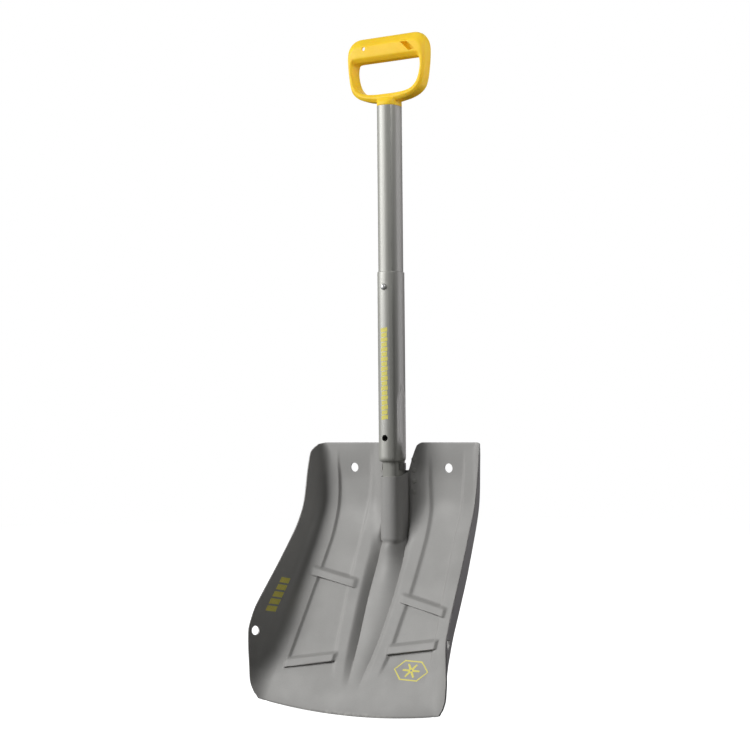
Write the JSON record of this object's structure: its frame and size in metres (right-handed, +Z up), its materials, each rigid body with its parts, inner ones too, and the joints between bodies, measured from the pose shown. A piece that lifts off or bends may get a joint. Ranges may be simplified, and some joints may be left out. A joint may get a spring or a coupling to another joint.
{
  "type": "avalanche shovel",
  "caption": "Telescoping snow shovel with a flanged and ribbed stamped metal scoop, an oval two-piece shaft with snap-button locks and a moulded D-grip.",
  "frame": {"origin": "under the middle of the overall box, at the level of the blade's tip", "axes": "+Z up along the shaft from the tip to the grip, +X to the right seen from the scoop side, the scoop opens towards -Y"},
  "size_m": [0.294, 0.149, 0.8645],
  "materials": {
    "blade_metal": "satin warm grey anodised sheet",
    "plate_metal": "satin warm grey anodised sheet",
    "shaft_metal": "satin grey anodised tube",
    "rivet_metal": "plain satin",
    "grip_plastic": "moulded, soft sheen, yellow orange",
    "dark_plastic": "moulded black",
    "button_steel": "polished domed end",
    "spring_steel": "plain strip"
  },
  "bodies": {
    "blade": {"blade": "blade_metal", "socket_plate": "plate_metal", "socket_collar": "dark_plastic", "socket_rivet_1": "rivet_metal", "socket_rivet_2": "rivet_metal", "socket_rivet_3": "rivet_metal", "socket_rivet_4": "rivet_metal", "socket_rivet_5": "rivet_metal", "socket_rivet_6": "rivet_metal", "socket_rivet_7": "rivet_metal", "socket_rivet_8": "rivet_metal"},
    "lower_shaft": {"lower_shaft": "shaft_metal", "blade_lock_spring": "spring_steel"},
    "upper_shaft": {"upper_shaft": "shaft_metal", "shaft_end_plug": "dark_plastic", "d_grip": "grip_plastic", "grip_pin": "rivet_metal", "shaft_lock_spring": "spring_steel"},
    "shaft_lock_button": {"shaft_lock_button": "button_steel"},
    "blade_lock_button": {"blade_lock_button": "button_steel"}
  },
  "joints": [
    {"name": "blade_release", "type": "slide", "parent": "blade", "child": "lower_shaft", "axis": [0, 0, 1], "range_m": [0, 0.085], "deforming": ["blade_lock_button", "blade_lock_spring"]},
    {"name": "telescope", "type": "slide", "parent": "lower_shaft", "child": "upper_shaft", "axis": [0, 0, 1], "range_m": [-0.195, 0], "deforming": ["shaft_lock_button", "shaft_lock_spring"]},
    {"name": "shaft_button_press", "type": "slide", "parent": "upper_shaft", "child": "shaft_lock_button", "axis": [0, 1, 0], "range_m": [0, 0.005], "stiffness_N_per_m": 900, "springref_m": -0.002},
    {"name": "blade_button_press", "type": "slide", "parent": "lower_shaft", "child": "blade_lock_button", "axis": [0, -1, 0], "range_m": [0, 0.005], "stiffness_N_per_m": 900, "springref_m": -0.002}
  ]
}
